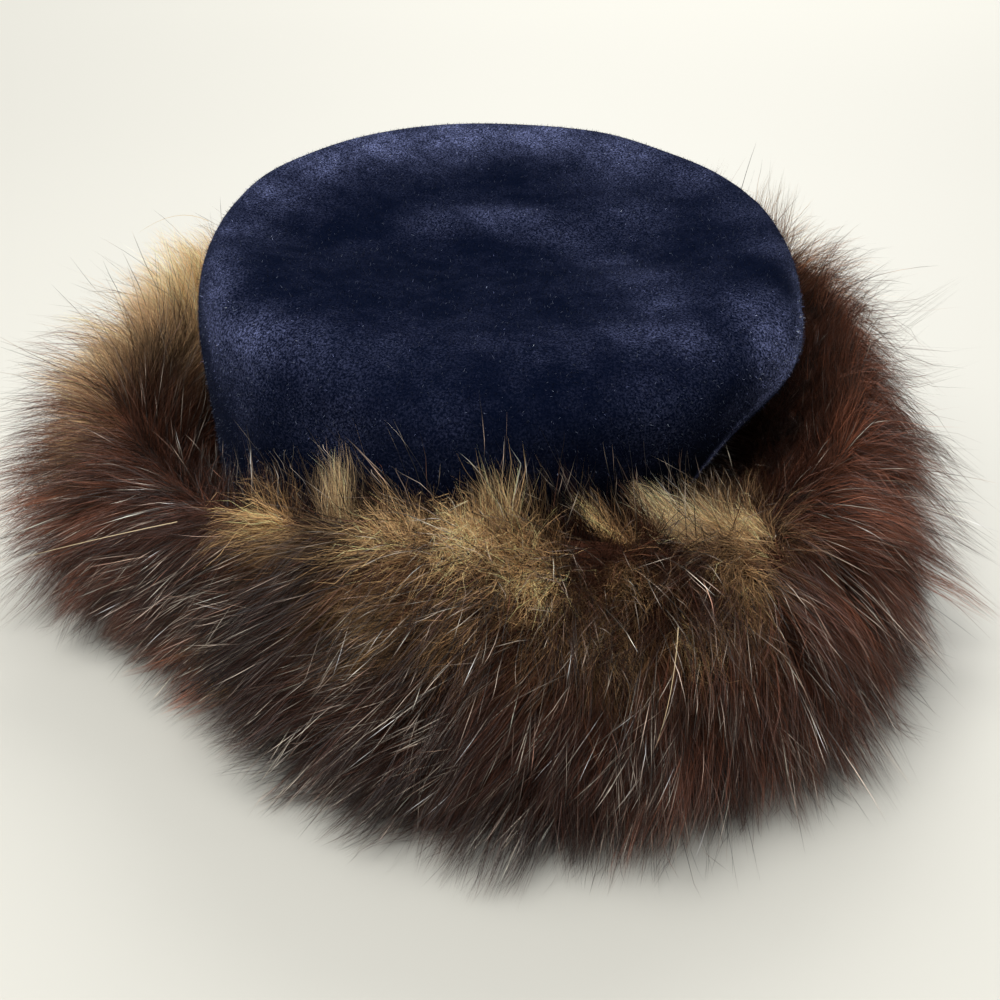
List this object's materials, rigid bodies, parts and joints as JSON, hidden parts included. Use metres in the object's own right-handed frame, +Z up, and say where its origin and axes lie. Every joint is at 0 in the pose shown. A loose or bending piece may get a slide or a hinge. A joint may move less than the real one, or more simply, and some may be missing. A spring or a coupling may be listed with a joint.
{
  "type": "fur-trimmed hat",
  "caption": "Soft flared crown of velour felt with a dished top, set in a deep upturned brim of long fur, resting on its brim with the head opening underneath.",
  "frame": {"origin": "centre of the hat's bounding box at the surface that its brim rests on", "axes": "+Z up through the crown, -Y the front of the hat, +X to the right seen from the front"},
  "size_m": [0.3196, 0.3404, 0.1295],
  "materials": {
    "velour_felt": "deep navy velour felt with a soft raised nap",
    "fur": "long dark brown guard hair over golden tan underfur"
  },
  "bodies": {
    "root": {"crown": "velour_felt", "fur_brim": "fur"}
  },
  "joints": []
}
